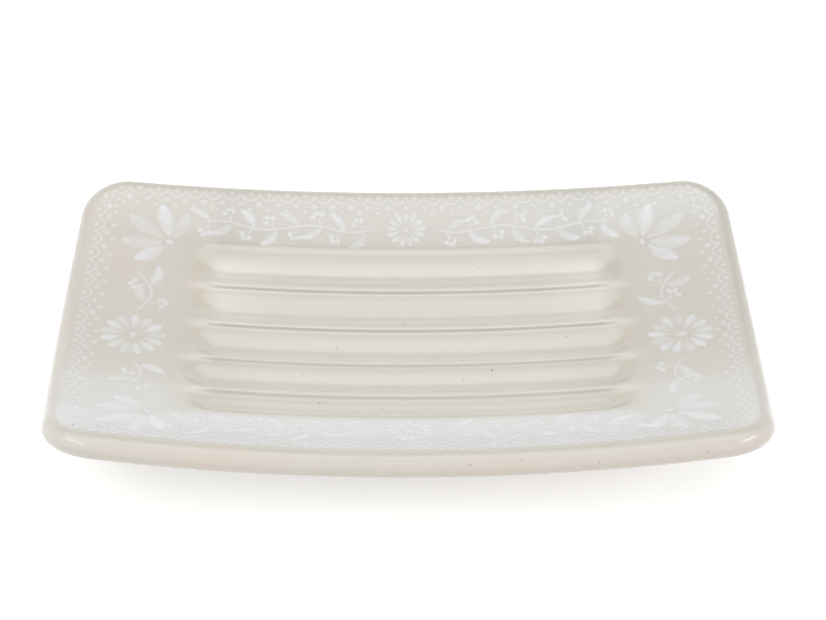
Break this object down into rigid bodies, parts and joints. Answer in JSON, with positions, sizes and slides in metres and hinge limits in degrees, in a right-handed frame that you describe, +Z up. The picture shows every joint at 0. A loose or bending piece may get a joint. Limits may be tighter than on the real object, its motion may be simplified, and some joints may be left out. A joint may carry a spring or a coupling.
{
  "type": "soap dish",
  "caption": "Rectangular glazed stoneware soap dish, shallowly dished both ways, with parallel drain flutes in its floor, a rounded rim and an unglazed foot ring.",
  "frame": {"origin": "on the surface that the dish stands on, under the middle of the dish", "axes": "+X along the flutes and the long sides, +Y across the flutes, +Z up"},
  "size_m": [0.15, 0.0966, 0.0235],
  "materials": {
    "speckled_glaze": "oatmeal stoneware glaze, iron speckle, glossy",
    "bare_clay": "unglazed fired stoneware, fine grit",
    "white_slip": "milky white slip decoration under the glaze, slightly raised"
  },
  "bodies": {
    "root": {"tray": "speckled_glaze", "foot_ring": "bare_clay"}
  },
  "joints": []
}
